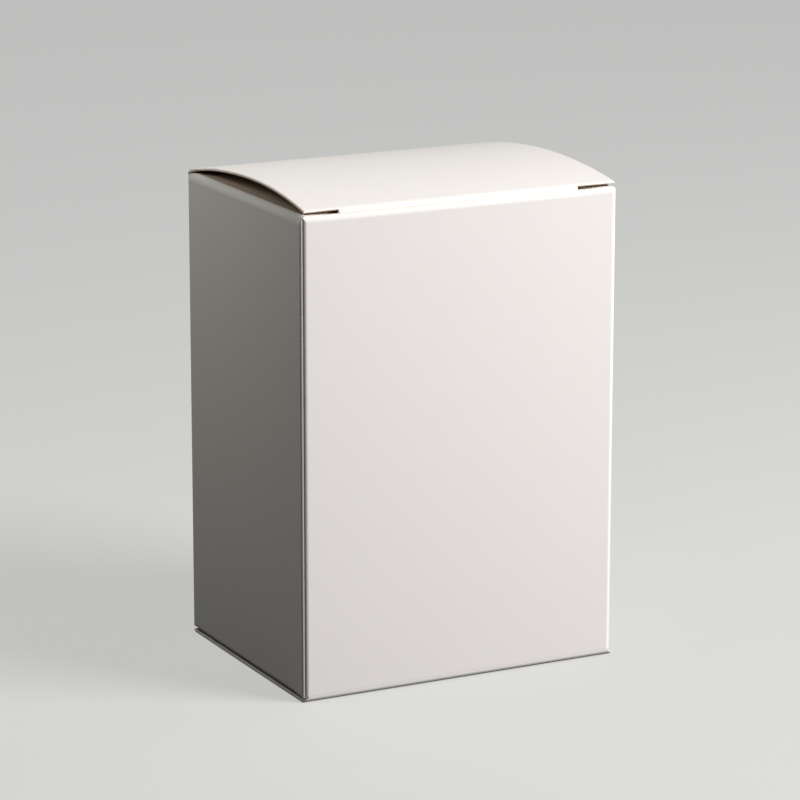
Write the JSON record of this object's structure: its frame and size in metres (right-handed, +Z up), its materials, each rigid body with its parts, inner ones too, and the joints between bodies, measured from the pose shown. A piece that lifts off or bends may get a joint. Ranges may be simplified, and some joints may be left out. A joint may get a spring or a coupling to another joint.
{
  "type": "folding carton",
  "caption": "Plain white folding carton, shut, with an arched tuck lid slit at both ends of its front fold and a flat tuck base.",
  "frame": {"origin": "middle of the footprint, on the floor that the carton stands on", "axes": "+Z up, front wall facing -Y, +X to the right as the front is looked at"},
  "size_m": [0.0864, 0.067, 0.1237],
  "materials": {
    "white_board": "uncoated white folding boxboard, matt, with a fine fibre grain"
  },
  "bodies": {
    "root": {"carton": "white_board"}
  },
  "joints": []
}
